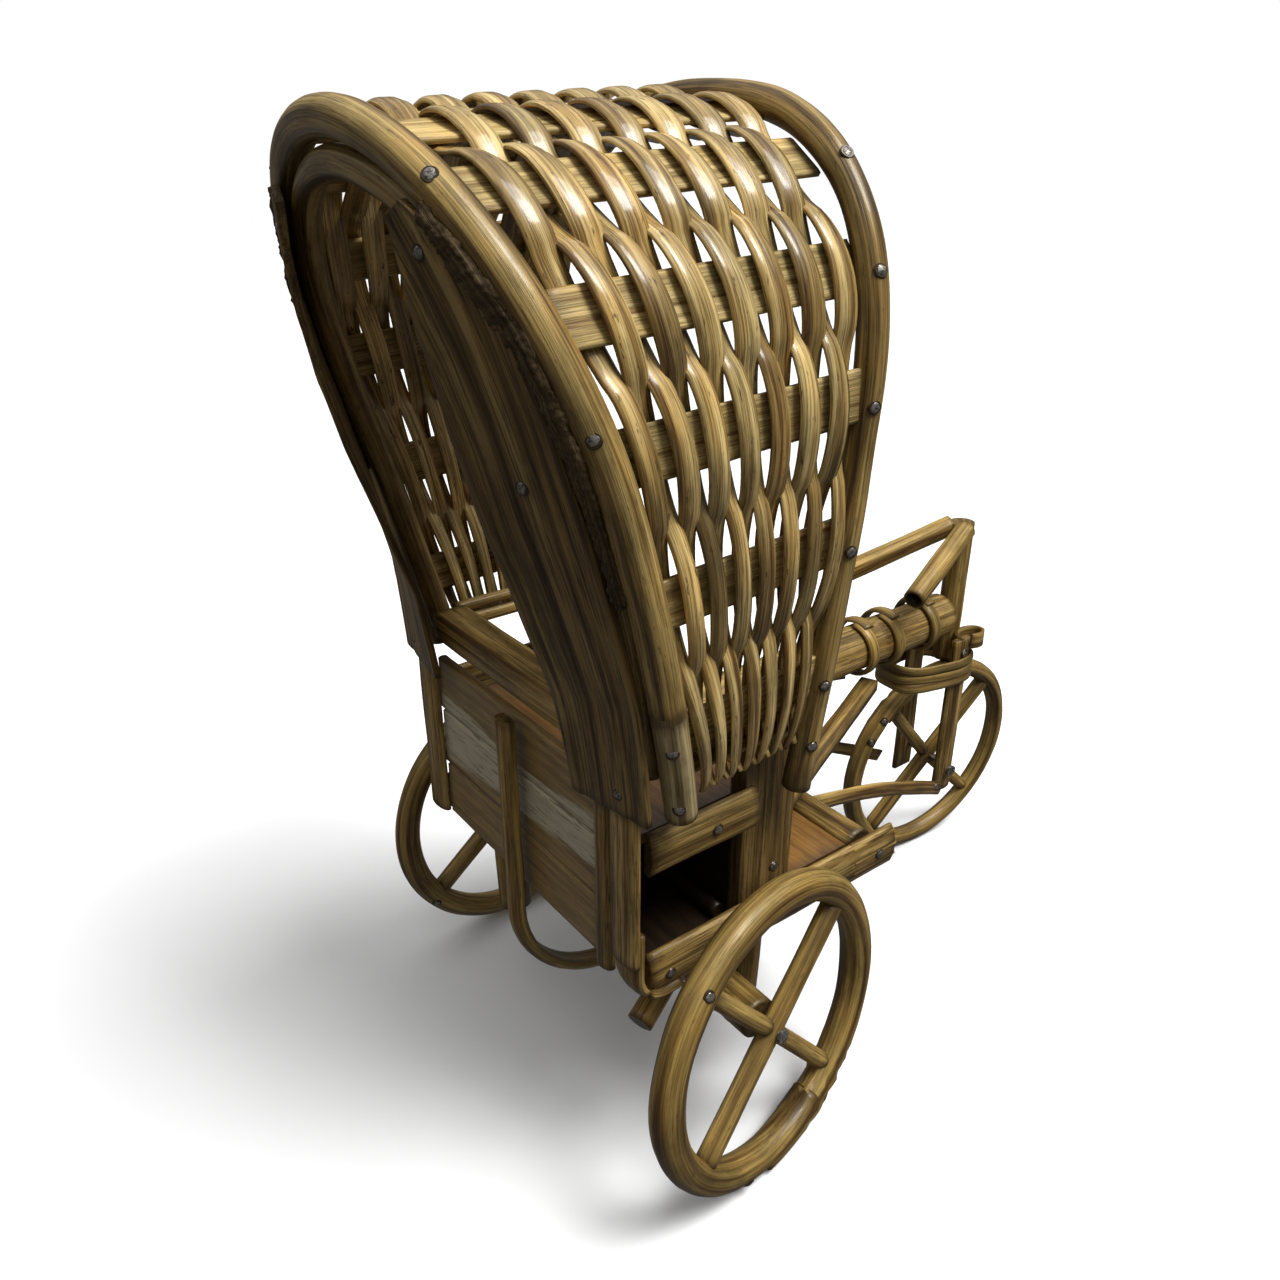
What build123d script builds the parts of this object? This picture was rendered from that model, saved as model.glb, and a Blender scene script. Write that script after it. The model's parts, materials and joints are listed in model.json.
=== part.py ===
from build123d import *
import math
import os

# ---------------------------------------------------------------- driving dimensions, in mm
# The layout is drawn with X forward from the rear axle, Y to the left and Z up from the ground.
# Everything is moved at the end, so that the finished part stands centred on its own origin.

REAR_WHEEL_R = 38.0          # outside radius of both rear rims
FRONT_WHEEL_R = 34.9
RIGHT_RIM_CANE = 3.8         # radius of the round cane bent into each rim
LEFT_RIM_CANE = 3.4
FRONT_RIM_CANE = 2.8
RIGHT_HUB_Y = -57.2
LEFT_HUB_Y = 55.6
WHEELBASE = 124.9
RIGHT_TOE, RIGHT_CAMBER = 9.0, -4.5      # each wheel sits a little askew on its nail
LEFT_TOE, LEFT_CAMBER = 3.0, -1.5
FRONT_TOE, FRONT_CAMBER = -5.0, 3.0
SPOKE_R = 2.5
HALF_SPOKE_R = 2.15
FRONT_SPOKE_R = 2.3
HUB_NAIL_R = 0.8
HUB_CLEARANCE = 0.07         # radial, between a hub nail and the spoke that turns on it
NAIL_HEAD_R = 1.7
NAIL_HEAD_H = 0.7
SPOKE_BUTT_GAP = 0.15

AXLE_R = 5.0
AXLE_ENDS = (-53.4, 52.4)    # the rear axle cane's cut ends, right and left

BOX_BACK = -27.5             # rear face of the boards behind the seat
BOX_SIDE = 46.0              # outer face of the side rails
RAIL_T = 4.0
POST_T = 3.8
BOTTOM_RAIL_Z = (52.5, 63.5)
BOTTOM_RAIL_X = (-25.0, 52.0)
MIDDLE_RAIL_Z = (84.0, 94.5)
MIDDLE_RAIL_X = (-25.0, 4.0)
FRONT_POST_X = (2.2, 18.8)
FRONT_POST_Z = (56.0, 113.0)
SEAT_Z = 89.5                # top of the seat board
SEAT_T = 2.5
SEAT_X = (-25.0, 11.5)
RISER_X = (2.5, 4.7)         # the board that closes the space under the seat in front
FOOT_Z = 61.8                # top of the footboard
FOOT_X = (5.0, 39.3)
FOOT_HALF = 41.2
TOP_RAIL_Z = (107.5, 114.0)
TOP_RAIL_X = (-28.3, -19.5)

HOOD_FOOT_Z = 104.0          # the hood's arches spring from here
HOOD_SPRING_Z = 168.0        # its sides start to round over here
HOOD_TOP_Z = 222.8
HOOD_HALF = 52.2
HOOD_FOOT_HALF = 48.6
HOOD_RISE = 0.056            # the roof climbs this much for each millimetre forward
ARCH_CANE = 3.4
INNER_CANE = 2.8
FRONT_CANE = 3.0
STAKE_T = 1.9
STAKE_LIFT = 2.3             # a stake's middle passes this far outside or inside a weft's middle
STAKES = 14
SLAT_T = 2.0
# each back slat by height: its outer edge, its inner edge, and how far that one stands behind the outer
SLAT_EDGES = (
    (101.2, 50.6, 29.0, 3.0), (117.0, 50.4, 28.5, 4.2), (135.0, 49.5, 28.2, 6.0), (160.0, 48.2, 27.6, 7.6),
    (176.0, 47.0, 27.0, 7.0), (190.0, 42.7, 26.0, 5.2), (201.0, 34.5, 24.5, 3.0), (209.0, 26.5, 22.0, 0.8),
)
WEFT_W = 9.6
WEFT_T = 1.2

TUBE_R = 6.6                 # the bamboo tube between the body and the fork
TUBE_Z = 86.0
TUBE_X = (15.0, 122.0)
FORK_Y = 6.4                 # inner face of each fork leg
FORK_T = 3.5

POST_OUTER = BOX_SIDE - RAIL_T - 0.1     # the front posts stand just inside the side rails
POST_INNER = POST_OUTER - POST_T

NODES = {}


def keep(name, *solids):
    """Store solids under a node's name."""
    NODES.setdefault(name, []).extend(solids)


def block(x, y, z, soften=0.0):
    """A box from its three ranges, with its edges broken."""
    shape = Pos((x[0] + x[1]) / 2, (y[0] + y[1]) / 2, (z[0] + z[1]) / 2) * Box(
        abs(x[1] - x[0]), abs(y[1] - y[0]), abs(z[1] - z[0])
    )
    return fillet(shape.edges(), soften) if soften else shape


def cane(start, end, radius, soften=0.0):
    """A straight round cane between two points."""
    start, end = Vector(*start), Vector(*end)
    shape = Plane(origin=start, z_dir=end - start) * Cylinder(
        radius, (end - start).length, align=(Align.CENTER, Align.CENTER, Align.MIN)
    )
    return fillet(shape.edges().filter_by(GeomType.CIRCLE), soften) if soften else shape


def bent(path, radius):
    """A round cane swept along a path."""
    return sweep(Plane(origin=path @ 0, z_dir=path % 0) * Circle(radius), path=path)


def strip(start, end, width, thick, face):
    """A flat strip between two points, its broad side facing the direction given."""
    start, end = Vector(*start), Vector(*end)
    run = end - start
    side = run.cross(Vector(*face)).normalized()
    plane = Plane(origin=start, x_dir=side, z_dir=run)
    return plane * Box(width, thick, run.length, align=(Align.CENTER, Align.CENTER, Align.MIN))


def mirrored(shape):
    return mirror(shape, Plane.XZ)


def largest(shape):
    """The main solid of a cut shape, without the slivers beside it."""
    return max(shape.solids(), key=lambda solid: solid.volume)


# ---------------------------------------------------------------- wheels


def wheel_place(hub, toe, camber):
    """Where a wheel stands: turned about the upright, then leant."""
    return Pos(*hub) * Rot(0, 0, toe) * Rot(camber, 0, 0)


def hub_height(outer, rim_cane, camber):
    """The hub's height for a rim that rests on the ground, leant or not."""
    return (outer - rim_cane) * math.cos(math.radians(camber)) + rim_cane


def along(angle, radius):
    """A point in a wheel's own plane, XZ, at an angle up from forward."""
    return (radius * math.cos(math.radians(angle)), 0, radius * math.sin(math.radians(angle)))


def make_wheel(tag, outer, rim_cane, spoke_r, half_r, angle, halves, place):
    """A cane ring, one full spoke through the hub and two half spokes butted against it."""
    rim = Rot(90, 0, 0) * Torus(outer - rim_cane, rim_cane)
    ring = Rot(90, 0, 0) * Torus(outer - rim_cane, rim_cane + 0.06)
    bore = Rot(90, 0, 0) * Cylinder(HUB_NAIL_R + HUB_CLEARANCE, 4 * spoke_r)
    reach = outer - rim_cane
    spokes = [cane(along(angle, -reach), along(angle, reach), spoke_r) - ring - bore]
    beside = cane(along(angle, -reach), along(angle, reach), spoke_r + SPOKE_BUTT_GAP)
    for half in halves:
        spokes.append(cane(along(half, 0), along(half, reach), half_r) - ring - beside)
    keep("rim_" + tag, place * rim)
    keep("spokes_" + tag, *[place * largest(s) for s in spokes])


RIGHT_HUB = (0, RIGHT_HUB_Y, hub_height(REAR_WHEEL_R, RIGHT_RIM_CANE, RIGHT_CAMBER))
LEFT_HUB = (0, LEFT_HUB_Y, hub_height(REAR_WHEEL_R, LEFT_RIM_CANE, LEFT_CAMBER))
FRONT_HUB = (WHEELBASE, 0, hub_height(FRONT_WHEEL_R, FRONT_RIM_CANE, FRONT_CAMBER))
RIGHT_PLACE = wheel_place(RIGHT_HUB, RIGHT_TOE, RIGHT_CAMBER)
LEFT_PLACE = wheel_place(LEFT_HUB, LEFT_TOE, LEFT_CAMBER)
FRONT_PLACE = wheel_place(FRONT_HUB, FRONT_TOE, FRONT_CAMBER)


def make_wheels():
    make_wheel("right", REAR_WHEEL_R, RIGHT_RIM_CANE, SPOKE_R, HALF_SPOKE_R, 41, (131, 310), RIGHT_PLACE)
    make_wheel("left", REAR_WHEEL_R, LEFT_RIM_CANE, SPOKE_R, HALF_SPOKE_R, 36, (128, 304), LEFT_PLACE)
    make_wheel("front", FRONT_WHEEL_R, FRONT_RIM_CANE, FRONT_SPOKE_R, 2.0, 46, (131, 317), FRONT_PLACE)


def nail(length, inner, outer_face):
    """A wire nail along -Y of its wheel's own frame: the head outside, the shank inwards."""
    shank = Pos(0, inner, 0) * Rot(90, 0, 0) * Cylinder(
        HUB_NAIL_R, length, align=(Align.CENTER, Align.CENTER, Align.MIN)
    )
    head = Pos(0, outer_face, 0) * Rot(90, 0, 0) * Cylinder(
        NAIL_HEAD_R, NAIL_HEAD_H, align=(Align.CENTER, Align.CENTER, Align.MIN)
    )
    return shank + head


def make_axle():
    """The rear axle cane, bored for the two hub nails, and the nails themselves."""
    axle = cane((0, AXLE_ENDS[0], RIGHT_HUB[2]), (0, AXLE_ENDS[1], LEFT_HUB[2]), AXLE_R, 0.6)
    right_nail = RIGHT_PLACE * nail(16.0, 12.6, -3.1)
    left_nail = LEFT_PLACE * (Rot(0, 0, 180) * nail(16.0, 12.6, -3.1))
    keep("axle", (axle - right_nail - left_nail).solids()[0])
    keep("nail_right", right_nail)
    keep("nail_left", left_nail)


def make_hangers():
    """Short canes that drop from the body and are nailed to the axle."""
    right_front = cane((9.2, -37.0, 21.0), (9.6, -38.0, 51.4), 4.0, 0.6)
    left_front = mirrored(right_front)
    left_rear = cane((-11.0, 36.5, 17.5), (-10.2, 39.5, 51.4), 4.6, 0.6)
    right_rear = cane((-25.0, -41.5, 42.5), (-10.5, -37.0, 49.5), 3.0, 0.6)
    keep("hanger_right_front", right_front)
    keep("hanger_left_front", left_front)
    keep("hanger_left_rear", left_rear)
    keep("hanger_right_rear", right_rear)


# ---------------------------------------------------------------- body


def half_round(start, end, radius, flat, flat_side):
    """A split cane: round on one side and cut flat on the other."""
    whole = cane(start, end, radius)
    mid = (Vector(*start) + Vector(*end)) / 2
    normal = Vector(*flat_side).normalized()
    cutter = Plane(origin=mid + normal * flat, z_dir=normal) * Box(
        400, 400, 50, align=(Align.CENTER, Align.CENTER, Align.MIN)
    )
    return (whole - cutter).solids()[0]


def make_side(side, tag):
    """Rails and posts of one side of the body; side is -1 on the right and 1 on the left."""
    ys = sorted((side * BOX_SIDE, side * (BOX_SIDE - RAIL_T)))
    keep("bottom_rail_" + tag, block(BOTTOM_RAIL_X, ys, BOTTOM_RAIL_Z, 1.4))
    keep("middle_rail_" + tag, block(MIDDLE_RAIL_X, ys, MIDDLE_RAIL_Z, 1.7))
    ys = sorted((side * POST_OUTER, side * POST_INNER))
    keep("front_post_" + tag, block(FRONT_POST_X, ys, FRONT_POST_Z, 1.2))


def make_rear_posts():
    keep(
        "rear_post_right",
        block((-29.8, -26.6), (-36.6, -31.2), (56.0, 99.8), 0.8),
        block((-30.6, -25.4), (-47.5, -37.0), (55.0, 101.0), 1.4),
    )
    keep("rear_post_left", block((-30.0, -25.4), (38.4, 47.5), (55.5, 101.0), 1.6))


def make_back():
    """Three boards across the back, the thick split rail above them, and the bent hoop."""
    edges = (55.5, 71.0, 87.0, 102.0)
    for low, high in zip(edges, edges[1:]):
        keep("back_boards", block((BOX_BACK, BOX_BACK + 2.2), (-30.9, 38.0), (low + 0.15, high - 0.15), 0.4))
    keep("top_rail", block(TOP_RAIL_X, (-37.5, 37.5), TOP_RAIL_Z, 2.0))


def make_hoop():
    """A bent cane: down the back, round below the axle and up to the underside of the footboard."""
    radius = 30.6
    middle = 51.0
    path = Line((-radius, 0, 102.5), (-radius, 0, middle))
    path += ThreePointArc((-radius, 0, middle), (0, 0, middle - radius), (radius, 0, middle))
    path += Line((radius, 0, middle), (radius, 0, FOOT_Z - SEAT_T - 0.1))
    keep("hoop", bent(Wire(path.edges()), 2.7).solids()[0])


def make_boards():
    keep("seat_board", block(SEAT_X, (-37.7, 37.7), (SEAT_Z - SEAT_T, SEAT_Z)))
    keep("seat_lip", block((11.7, 14.6), (-37.7, 37.7), (SEAT_Z - 5.0, SEAT_Z + 0.6), 0.8))
    foot = block(FOOT_X, (-FOOT_HALF, FOOT_HALF), (FOOT_Z - SEAT_T, FOOT_Z))
    notch = block((0, FRONT_POST_X[1] + 0.1), (POST_INNER - 0.1, 60), (50, 70))
    keep("foot_board", largest(foot - notch - mirrored(notch)))
    keep("floor_board", block((-25.0, 4.8), (-41.0, 41.0), (53.5, 55.5)))
    riser = block(RISER_X, (-37.7, 37.7), (55.6, SEAT_Z - SEAT_T - 0.1))
    batten = block((RISER_X[0] - 3.3, RISER_X[0] - 0.1), (-37.7, 37.7), (55.6, 60.2), 0.8)
    keep("seat_riser", riser, batten)
    keep("foot_bar", half_round((43.6, -41.4, 59.6), (43.6, 41.4, 59.6), 4.2, 2.6, (0, 0, -1)))


# ---------------------------------------------------------------- hood


def hood_section(offset=0.0, foot=HOOD_FOOT_Z, steps=14, x=0.0):
    """The hood's cross section at one place, from the right foot over the top to the left foot."""
    half, top = HOOD_HALF + offset, HOOD_TOP_Z + offset + HOOD_RISE * (x + 17)
    points = []
    for i in range(5):
        f = i / 5
        width = HOOD_FOOT_HALF + offset + (half - HOOD_FOOT_HALF - offset) * math.sin(f * math.pi / 2)
        points.append((-width, foot + (HOOD_SPRING_Z - foot) * f))
    for i in range(steps + 1):
        t = math.pi * i / steps
        points.append((-half * math.cos(t), HOOD_SPRING_Z + (top - HOOD_SPRING_Z) * math.sin(t) ** 0.93))
    points += [(-y, z) for y, z in reversed(points[:5])]
    return points


def rear_lean(z, shift=0.0):
    """How far back the rear arch stands at a height: it leans more towards the top."""
    u = (z - 104.0) / 117.3
    return -21.3 - 22.6 * u - 12.0 * u * u + shift


def front_lean(z, shift=0.0):
    return 13.0 + (z - 100.0) * math.tan(math.radians(4.4)) + shift


def arch_path(half, foot_half, foot, spring, top, power, lean, shift=0.0, steps=12):
    """A bent cane's middle line: nearly straight legs and a rounded top, leaning as it rises."""
    points = []
    for i in range(4):
        f = i / 4
        width = foot_half + (half - foot_half) * math.sin(f * math.pi / 2)
        z = foot + (spring - foot) * f
        points.append((lean(z, shift), -width, z))
    for i in range(steps + 1):
        t = math.pi * i / steps
        y = -half * math.copysign(abs(math.cos(t)) ** (2 / power), math.cos(t))
        z = spring + (top - spring) * math.sin(t) ** (2 / power)
        points.append((lean(z, shift), y, z))
    points += [(x, -y, z) for x, y, z in reversed(points[:4])]
    return Spline(*points)


def make_arches():
    keep("arch_rear", bent(arch_path(52.6, 49.2, 100.5, 163.5, 221.3, 2.0, rear_lean), ARCH_CANE))
    keep(
        "arch_rear_inner",
        bent(arch_path(46.2, 42.8, 108.0, 163.5, 214.6, 2.0, rear_lean, -1.0), INNER_CANE),
    )
    keep("arch_front", bent(arch_path(51.7, 47.6, 93.0, 173.0, 225.6, 2.5, front_lean), FRONT_CANE))


def stake_place(number, z):
    """Where along the body a stake runs at a height: the stakes fan out from the hood's foot."""
    middle = -2.9 - 0.1056 * (z - 107)
    pitch = 1.895 + 0.02393 * (z - 107)
    return middle + (number - (STAKES - 1) / 2) * pitch, pitch


def section_line(offset=0.0):
    """The hood's section as one smooth line in the YZ plane."""
    return Spline(*[(0, y, z) for y, z in hood_section(offset)])


# heights of the wefts on either side of the ridge, at the hood's middle
WEFT_HEIGHTS = (118.5, 147.0, 174.0, 195.3, 212.6, 220.6)


def weft_shares(line):
    """Places of the wefts along the section line: six up each side and one along the ridge."""
    shares = []
    for height in WEFT_HEIGHTS:
        low, high = 0.0, 0.5
        for _ in range(30):
            mid = (low + high) / 2
            if (line @ mid).Z < height:
                low = mid
            else:
                high = mid
        shares.append((low + high) / 2)
    return shares + [0.5] + [1 - s for s in reversed(shares)]


def woven_line(line, shares, sign, offset):
    """A stake's edge line: it waves out and in past the wefts, and lies off the middle by offset."""
    points = []
    for i in range(len(shares) - 1):
        for k in range(4):
            points.append(share_point(line, shares, i + k / 4, sign, offset))
    points.append(share_point(line, shares, len(shares) - 1, sign, offset))
    knots = [shares[0] - (shares[1] - shares[0])] + shares
    first = [share_point(line, knots, 0.55 + 0.15 * k, -sign, offset) for k in range(3)]
    last = [(x, -y, z) for x, y, z in reversed(first)]
    return first + points + last


def share_point(line, shares, where, sign, offset):
    i = min(int(where), len(shares) - 2)
    f = where - i
    s = max(shares[i] + (shares[i + 1] - shares[i]) * f, 0.0)
    here = line @ s
    tangent = line % s
    normal = Vector(0, -tangent.Z, tangent.Y)
    wave = math.cos(where * math.pi)
    lift = sign * STAKE_LIFT * math.copysign(abs(wave) ** 0.4, wave) + offset
    p = here + normal * lift
    return (0, p.Y, p.Z)


def make_stakes(line, shares):
    """Flat canes over the hood, woven past the wefts; alternate ones start outside and inside."""
    for sign, name in ((1, "stakes_over"), (-1, "stakes_under")):
        outer = woven_line(line, shares, sign, STAKE_T / 2)
        inner = woven_line(line, shares, sign, -STAKE_T / 2)
        face = make_face(Polyline(*outer, *reversed(inner), close=True))
        reach = 130.0
        placed = Pos(-reach / 2 - 17, 0, -HOOD_RISE * reach / 2) * face
        band = extrude(placed, amount=reach, dir=(1, 0, HOOD_RISE))
        start = 0 if sign == 1 else 1
        for number in range(start, STAKES, 2):
            low_x, low_p = stake_place(number, 95)
            high_x, high_p = stake_place(number, 240)
            wedge = Polygon(
                (low_x - 0.46 * low_p, 95),
                (low_x + 0.46 * low_p, 95),
                (high_x + 0.46 * high_p, 240),
                (high_x - 0.46 * high_p, 240),
                align=None,
            )
            cutter = extrude(Plane.XZ * wedge, amount=70, both=True)
            keep(name, largest(band & cutter))


def make_wefts(line, shares):
    """Flat bamboo strips that run forwards through the stakes, from arch to arch."""
    half = len(shares) // 2
    for i, share in enumerate(shares):
        here = line @ share
        tangent = line % share
        start_x = rear_lean(here.Z - 6) + ARCH_CANE + 0.8
        end_x = front_lean(here.Z) - FRONT_CANE - 1.0
        rise = HOOD_RISE
        a = (start_x, here.Y, here.Z + rise * (start_x + 17))
        b = (end_x, here.Y, here.Z + rise * (end_x + 17))
        normal = (0, -tangent.Z, tangent.Y)
        width = WEFT_W if abs(i - half) > 1 else WEFT_W - 1.5
        name = "wefts_right" if i < half else "weft_ridge" if i == half else "wefts_left"
        keep(name, strip(a, b, width, WEFT_T, normal))


def make_hood_rails():
    for side, tag in ((-1, "right"), (1, "left")):
        keep(
            "hood_rail_" + tag,
            cane((-19.0, side * 43.9, 110.4), (11.0, side * 43.9, 110.4), 1.5),
            cane((-19.0, side * 43.9, 106.6), (11.0, side * 43.9, 106.6), 1.9),
        )


def slat_section(z, outer, inner, back):
    """A back slat's section at a height, from its outer edge to its inner one."""
    outer_x = rear_lean(z) - 5.1 - 3.4 * max(0.0, (125 - z) / 25)
    plane = Plane(origin=(outer_x, -outer, z), x_dir=(-back, outer - inner, 0), z_dir=(0, 0, 1))
    return plane * Rectangle(math.hypot(back, outer - inner), SLAT_T, align=(Align.MIN, Align.CENTER))


def make_back_slats():
    """Flat slats up the rear arch: they turn as they rise and narrow to the arch's curve."""
    sections = []
    for low, high in zip(SLAT_EDGES, SLAT_EDGES[1:]):
        for k in range(2):
            sections.append(slat_section(*[a + (b - a) * k / 2 for a, b in zip(low, high)]))
    sections.append(slat_section(*SLAT_EDGES[-1]))
    slat = loft(sections, ruled=True).solids()[0]
    keep("back_slat_right", slat)
    keep("back_slat_left", mirrored(slat))


# ---------------------------------------------------------------- front


def ring_band(x, outer, width, centre_z):
    """A cane band tied round the tube."""
    band = Pos(x, 0, centre_z) * Rot(0, 90, 0) * (Cylinder(outer, width) - Cylinder(outer - 1.5, width + 1))
    return band


def make_front():
    front_nail = FRONT_PLACE * nail(24.0, 12.5, -10.8)
    stem = cane((127.5, 0, 70.0), (127.2, 0, 114.0), 3.6, 0.5)
    around_stem = cane((127.5, 0, 68.0), (127.2, 0, 118.0), 3.7)
    keep("steering_stem", stem)
    keep("nail_front", front_nail)
    tube = cane((TUBE_X[0], 0, TUBE_Z), (TUBE_X[1], 0, TUBE_Z), TUBE_R, 0.8)
    keep("top_tube", tube)
    for x in (84.0, 95.0, 111.0):
        keep("tube_rings", ring_band(x, TUBE_R + 1.55, 3.4, TUBE_Z))
    for side, tag in ((-1, "right"), (1, "left")):
        ys = sorted((side * FORK_Y, side * (FORK_Y + FORK_T)))
        leg = block((119.6, 127.4), ys, (27.0, 80.5), 1.3)
        keep("fork_leg_" + tag, largest(leg - front_nail))
        keep("strut_" + tag, strip((20.0, side * 33.0, 72.5), (86.0, side * 5.2, 75.8), 5.0, 3.4, (0, 0, 1)))
        keep("stay_" + tag, strip((49.0, side * 20.0, 57.5), (117.0, side * 12.3, 31.0), 4.4, 1.6, (0, side, 0.2)))
        end = (94.0, side * 11.0, 102.0) if side < 0 else (90.0, side * 17.5, 99.5)
        keep("handle_" + tag, largest(cane((125.6, side * 3.4, 113.2), end, 3.1) - around_stem))


def finish():
    make_wheels()
    make_axle()
    make_hangers()
    make_side(-1, "right")
    make_side(1, "left")
    make_rear_posts()
    make_back()
    make_hoop()
    make_boards()
    line = section_line()
    shares = weft_shares(line)
    make_arches()
    make_stakes(line, shares)
    make_wefts(line, shares)
    make_hood_rails()
    make_back_slats()
    make_front()


finish()
whole = Compound([s for solids in NODES.values() for s in solids]).bounding_box()
middle_x = round((whole.min.X + whole.max.X) / 2, 2)
middle_y = round((whole.min.Y + whole.max.Y) / 2, 2)
os.makedirs("parts", exist_ok=True)
for name, solids in NODES.items():
    moved = [Pos(-middle_x, -middle_y, 0) * s for s in solids]
    export_step(Compound(moved) if len(moved) > 1 else moved[0], "parts/" + name + ".step")
print("box", whole.min, whole.max, "moved by", -middle_x, -middle_y)
for tag, place in (("right", RIGHT_PLACE), ("left", LEFT_PLACE), ("front", FRONT_PLACE)):
    hub = place.position - Vector(middle_x, middle_y, 0)
    print("hub", tag, hub, "axis", Plane(place).y_dir)
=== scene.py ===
import json
import math
import bmesh
import bpy
from mathutils import Matrix, Vector, noise


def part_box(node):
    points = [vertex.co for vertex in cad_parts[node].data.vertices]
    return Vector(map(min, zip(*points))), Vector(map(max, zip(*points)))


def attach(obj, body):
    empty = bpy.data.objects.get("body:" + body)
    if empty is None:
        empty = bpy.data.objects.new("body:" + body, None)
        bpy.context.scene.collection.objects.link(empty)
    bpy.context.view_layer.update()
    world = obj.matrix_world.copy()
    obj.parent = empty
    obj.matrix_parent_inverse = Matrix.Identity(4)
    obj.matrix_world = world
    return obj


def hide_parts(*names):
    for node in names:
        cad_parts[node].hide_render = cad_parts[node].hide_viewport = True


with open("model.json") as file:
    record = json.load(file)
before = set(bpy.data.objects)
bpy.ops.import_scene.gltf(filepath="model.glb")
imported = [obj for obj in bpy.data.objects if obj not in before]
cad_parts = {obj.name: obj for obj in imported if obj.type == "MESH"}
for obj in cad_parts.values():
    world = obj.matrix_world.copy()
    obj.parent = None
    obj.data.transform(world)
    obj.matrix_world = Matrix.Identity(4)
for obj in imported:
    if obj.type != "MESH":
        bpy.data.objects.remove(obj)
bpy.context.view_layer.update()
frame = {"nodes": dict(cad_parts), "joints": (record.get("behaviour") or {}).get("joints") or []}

# ---------------------------------------------------------------- the workshop's own frame
# Pieces are laid out in millimetres: X forward from the rear axle, Y left from the bamboo tube's middle
# and Z up from the ground.

SPINS = {j["child"].replace("wheel_", ""): j for j in frame["joints"]}
TUBE_LOW, TUBE_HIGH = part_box("top_tube")
TO_FRAME = Matrix.Translation((SPINS["right"]["pos_m"][0], (TUBE_LOW.y + TUBE_HIGH.y) / 2, 0))
TO_FRAME = TO_FRAME @ Matrix.Scale(0.001, 4)
TO_LAYOUT = TO_FRAME.inverted()
FORWARD, BACKWARD, UPWARD = Vector((1, 0, 0)), Vector((-1, 0, 0)), Vector((0, 0, 1))


def node_box(node):
    """A CAD node's lowest and highest corners, in layout millimetres."""
    low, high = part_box(node)
    return TO_LAYOUT @ low, TO_LAYOUT @ high


# ---------------------------------------------------------------- finishes


def new_finish(name):
    material = bpy.data.materials.new(name)
    material.use_nodes = True
    nodes = material.node_tree.nodes
    nodes.clear()
    surface = nodes.new("ShaderNodeBsdfPrincipled")
    output = nodes.new("ShaderNodeOutputMaterial")
    material.node_tree.links.new(surface.outputs[0], output.inputs[0])
    return material, nodes, material.node_tree.links, surface


def attribute(nodes, name):
    found = nodes.new("ShaderNodeAttribute")
    found.attribute_name = name
    return found


def stretched_noise(nodes, links, source, stretch, scale, detail=4.0, rough=0.55):
    """Noise drawn out along the grain, which runs along the first coordinate."""
    mapping = nodes.new("ShaderNodeMapping")
    mapping.inputs["Scale"].default_value = stretch
    links.new(source, mapping.inputs["Vector"])
    texture = nodes.new("ShaderNodeTexNoise")
    texture.inputs["Scale"].default_value = scale
    texture.inputs["Detail"].default_value = detail
    texture.inputs["Roughness"].default_value = rough
    links.new(mapping.outputs[0], texture.inputs["Vector"])
    return texture.outputs["Fac"]


def ramp(nodes, links, value, stops):
    """Colours or greys picked by a value."""
    node = nodes.new("ShaderNodeValToRGB")
    elements = node.color_ramp.elements
    elements[0].position, elements[0].color = stops[0][0], (*stops[0][1], 1)
    elements[1].position, elements[1].color = stops[-1][0], (*stops[-1][1], 1)
    for position, colour in stops[1:-1]:
        elements.new(position).color = (*colour, 1)
    links.new(value, node.inputs["Fac"])
    return node.outputs["Color"]


def mixed(nodes, links, share, first, second, blend="MIX"):
    """Blend two colours; share is a number or a socket, and either colour may be a plain one."""
    node = nodes.new("ShaderNodeMix")
    node.data_type = "RGBA"
    node.blend_type = blend
    for socket, value in ((node.inputs[0], share), (node.inputs[6], first), (node.inputs[7], second)):
        if isinstance(value, bpy.types.NodeSocket):
            links.new(value, socket)
        elif isinstance(value, tuple):
            socket.default_value = (*value, 1)
        else:
            socket.default_value = value
    return node.outputs[2]


def sum_of(nodes, links, operation, first, second, clamp=False):
    node = nodes.new("ShaderNodeMath")
    node.operation = operation
    node.use_clamp = clamp
    for socket, value in zip(node.inputs, (first, second)):
        if isinstance(value, bpy.types.NodeSocket):
            links.new(value, socket)
        else:
            socket.default_value = value
    return node.outputs[0]


def grey(level):
    return (level, level, level)


STAIN_BROWN = (0.022, 0.011, 0.004)


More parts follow.
